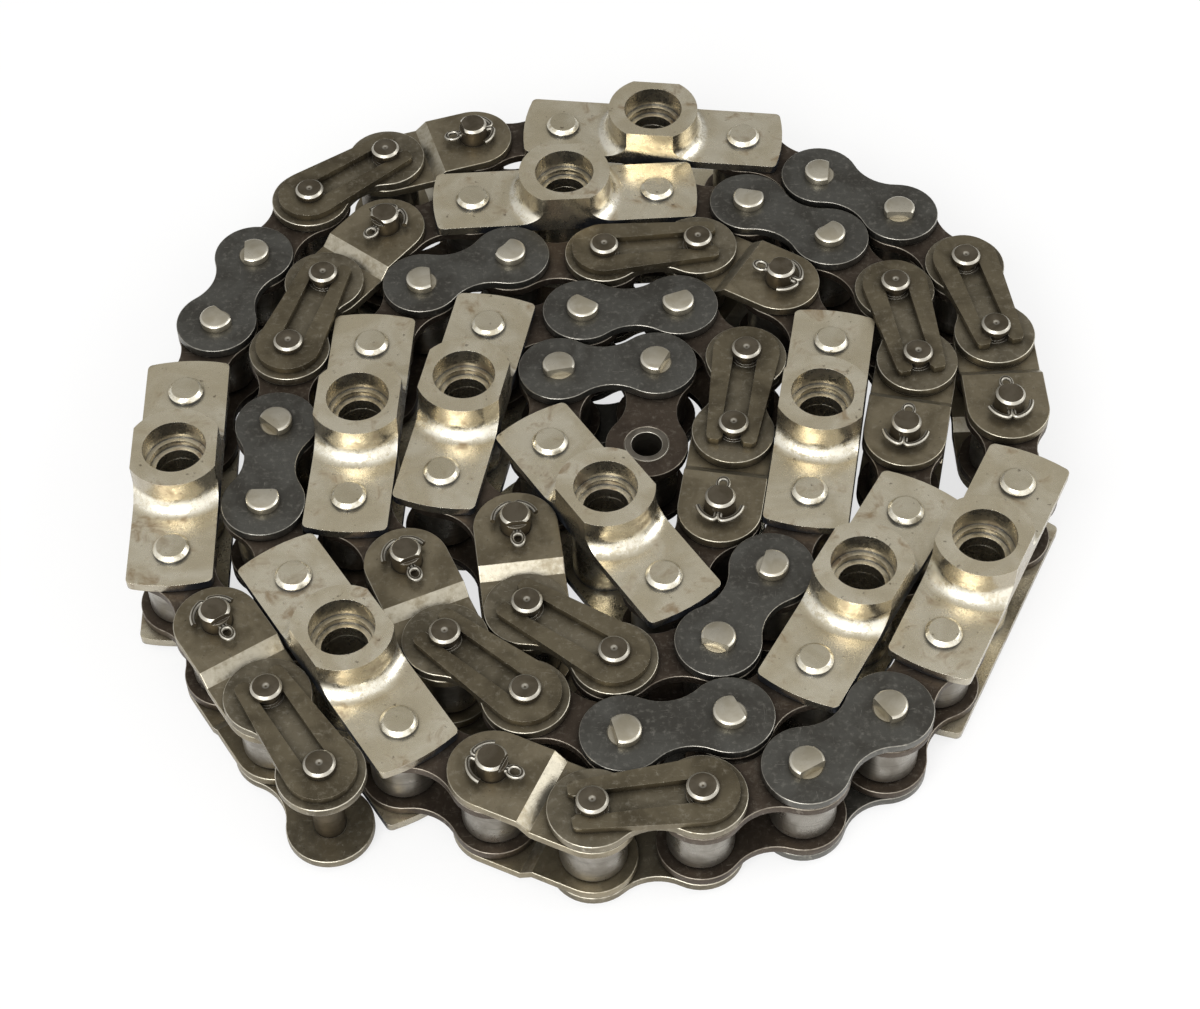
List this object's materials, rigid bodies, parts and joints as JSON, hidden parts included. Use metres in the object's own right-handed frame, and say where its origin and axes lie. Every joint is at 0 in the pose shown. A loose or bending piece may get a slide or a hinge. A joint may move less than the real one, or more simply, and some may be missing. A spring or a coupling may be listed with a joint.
{
  "type": "roller chain with boss attachments",
  "caption": "Coiled simplex conveyor roller chain with cranked links, spring-clip connecting links and long attachment plates carrying bored round bosses.",
  "frame": {"origin": "middle of the coil's footprint, in the plane that the lower pin heads stand on", "axes": "+Z along the pins, towards the bosses; X and Y in the plane of the coil"},
  "size_m": [0.1762, 0.1836, 0.0278],
  "materials": {
    "outer_plate": "blued and oiled, edges worn bright",
    "inner_plate": "dark brown-black oiled heat treatment scale",
    "crank_plate": "olive-grey quench finish",
    "connecting_plate": "olive-grey quench finish",
    "boss_plate": "warm nickel-coloured plate with brown staining",
    "boss_link": "warm nickel-coloured plate",
    "clip": "tempered spring steel, olive-brown",
    "cotter": "plain wire",
    "pin": "bright riveted and ground ends",
    "roller": "satin case-hardened",
    "bush": "satin"
  },
  "bodies": {
    "coil": {"coil_attachment_back_plates": "boss_link", "coil_attachment_boss_plates": "boss_plate", "coil_attachment_pins": "boss_link", "coil_attachment_spacers": "boss_link", "coil_bushes": "bush", "coil_connecting_back_plates": "connecting_plate", "coil_connecting_front_plates": "connecting_plate", "coil_connecting_pins": "pin", "coil_connecting_spring_clips": "clip", "coil_cranked_cotters": "cotter", "coil_cranked_pins": "pin", "coil_cranked_plates": "crank_plate", "coil_inner_plates": "inner_plate", "coil_outer_pins": "pin", "coil_outer_plates": "outer_plate", "coil_rollers": "roller"},
    "end_link": {"end_link_back_plate": "connecting_plate", "end_link_front_plate": "connecting_plate", "end_link_pins": "pin", "end_link_spring_clip": "clip"},
    "end_crank": {"end_crank_bush": "bush", "end_crank_cotter": "cotter", "end_crank_lower_plate": "crank_plate", "end_crank_pin": "pin", "end_crank_upper_plate": "crank_plate"},
    "inner_link_1": {"inner_link_1_bushes": "bush", "inner_link_1_lower_plate": "inner_plate", "inner_link_1_upper_plate": "inner_plate"},
    "boss_link": {"boss_link_back_plate": "boss_link", "boss_link_boss_plate": "boss_plate", "boss_link_pins": "boss_link", "boss_link_spacer": "boss_link"},
    "inner_link_2": {"inner_link_2_bushes": "bush", "inner_link_2_lower_plate": "inner_plate", "inner_link_2_upper_plate": "inner_plate"},
    "outer_link": {"outer_link_lower_plate": "outer_plate", "outer_link_pins": "pin", "outer_link_upper_plate": "outer_plate"},
    "inner_link_3": {"inner_link_3_bushes": "bush", "inner_link_3_lower_plate": "inner_plate", "inner_link_3_upper_plate": "inner_plate"},
    "joining_link": {"joining_link_back_plate": "connecting_plate", "joining_link_front_plate": "connecting_plate", "joining_link_pins": "pin", "joining_link_spring_clip": "clip"},
    "joining_crank": {"joining_crank_bush": "bush", "joining_crank_cotter": "cotter", "joining_crank_lower_plate": "crank_plate", "joining_crank_pin": "pin", "joining_crank_upper_plate": "crank_plate"},
    "end_crank_roller": {"end_crank_roller": "roller"},
    "inner_link_1_roller_a": {"inner_link_1_roller_a": "roller"},
    "inner_link_1_roller_b": {"inner_link_1_roller_b": "roller"},
    "inner_link_2_roller_a": {"inner_link_2_roller_a": "roller"},
    "inner_link_2_roller_b": {"inner_link_2_roller_b": "roller"},
    "inner_link_3_roller_a": {"inner_link_3_roller_a": "roller"},
    "inner_link_3_roller_b": {"inner_link_3_roller_b": "roller"},
    "joining_crank_roller": {"joining_crank_roller": "roller"}
  },
  "joints": [
    {"name": "joining_crank_hinge", "type": "hinge", "parent": "coil", "child": "joining_crank", "pos_m": [-0.02554, 0.08044, 0.01135], "axis": [0, 0, -1], "range_deg": [0, 90]},
    {"name": "joining_link_hinge", "type": "hinge", "parent": "joining_crank", "child": "joining_link", "pos_m": [-0.04375, 0.07486, 0.01135], "axis": [0, 0, 1], "range_deg": [-90, 0]},
    {"name": "inner_link_3_hinge", "type": "hinge", "parent": "joining_link", "child": "inner_link_3", "pos_m": [-0.05893, 0.06336, 0.01135], "axis": [0, 0, -1], "range_deg": [0, 90]},
    {"name": "outer_link_hinge", "type": "hinge", "parent": "inner_link_3", "child": "outer_link", "pos_m": [-0.06957, 0.04755, 0.01135], "axis": [0, 0, 1], "range_deg": [-90, 0]},
    {"name": "inner_link_2_hinge", "type": "hinge", "parent": "outer_link", "child": "inner_link_2", "pos_m": [-0.07572, 0.02952, 0.01135], "axis": [0, 0, -1], "range_deg": [0, 90]},
    {"name": "boss_link_hinge", "type": "hinge", "parent": "inner_link_2", "child": "boss_link", "pos_m": [-0.08009, 0.01098, 0.01135], "axis": [0, 0, 1], "range_deg": [-90, 0]},
    {"name": "inner_link_1_hinge", "type": "hinge", "parent": "boss_link", "child": "inner_link_1", "pos_m": [-0.07952, -0.02712, 0.01135], "axis": [0, 0, -1], "range_deg": [0, 90]},
    {"name": "end_crank_hinge", "type": "hinge", "parent": "inner_link_1", "child": "end_crank", "pos_m": [-0.06984, -0.04352, 0.01135], "axis": [0, 0, 1], "range_deg": [-90, 0]},
    {"name": "end_link_hinge", "type": "hinge", "parent": "end_crank", "child": "end_link", "pos_m": [-0.05962, -0.0596, 0.01135], "axis": [0, 0, -1], "range_deg": [0, 90]},
    {"name": "end_crank_roller_spin", "type": "hinge", "parent": "end_crank", "child": "end_crank_roller", "pos_m": [-0.05962, -0.0596, 0.01135], "axis": [0, 0, 1], "continuous": true},
    {"name": "inner_link_1_roller_a_spin", "type": "hinge", "parent": "inner_link_1", "child": "inner_link_1_roller_a", "pos_m": [-0.06984, -0.04352, 0.01135], "axis": [0, 0, 1], "continuous": true},
    {"name": "inner_link_1_roller_b_spin", "type": "hinge", "parent": "inner_link_1", "child": "inner_link_1_roller_b", "pos_m": [-0.07952, -0.02712, 0.01135], "axis": [0, 0, 1], "continuous": true},
    {"name": "inner_link_2_roller_a_spin", "type": "hinge", "parent": "inner_link_2", "child": "inner_link_2_roller_a", "pos_m": [-0.08009, 0.01098, 0.01135], "axis": [0, 0, 1], "continuous": true},
    {"name": "inner_link_2_roller_b_spin", "type": "hinge", "parent": "inner_link_2", "child": "inner_link_2_roller_b", "pos_m": [-0.07572, 0.02952, 0.01135], "axis": [0, 0, 1], "continuous": true},
    {"name": "inner_link_3_roller_a_spin", "type": "hinge", "parent": "inner_link_3", "child": "inner_link_3_roller_a", "pos_m": [-0.06957, 0.04755, 0.01135], "axis": [0, 0, 1], "continuous": true},
    {"name": "inner_link_3_roller_b_spin", "type": "hinge", "parent": "inner_link_3", "child": "inner_link_3_roller_b", "pos_m": [-0.05893, 0.06336, 0.01135], "axis": [0, 0, 1], "continuous": true},
    {"name": "joining_crank_roller_spin", "type": "hinge", "parent": "joining_crank", "child": "joining_crank_roller", "pos_m": [-0.04375, 0.07486, 0.01135], "axis": [0, 0, 1], "continuous": true}
  ]
}
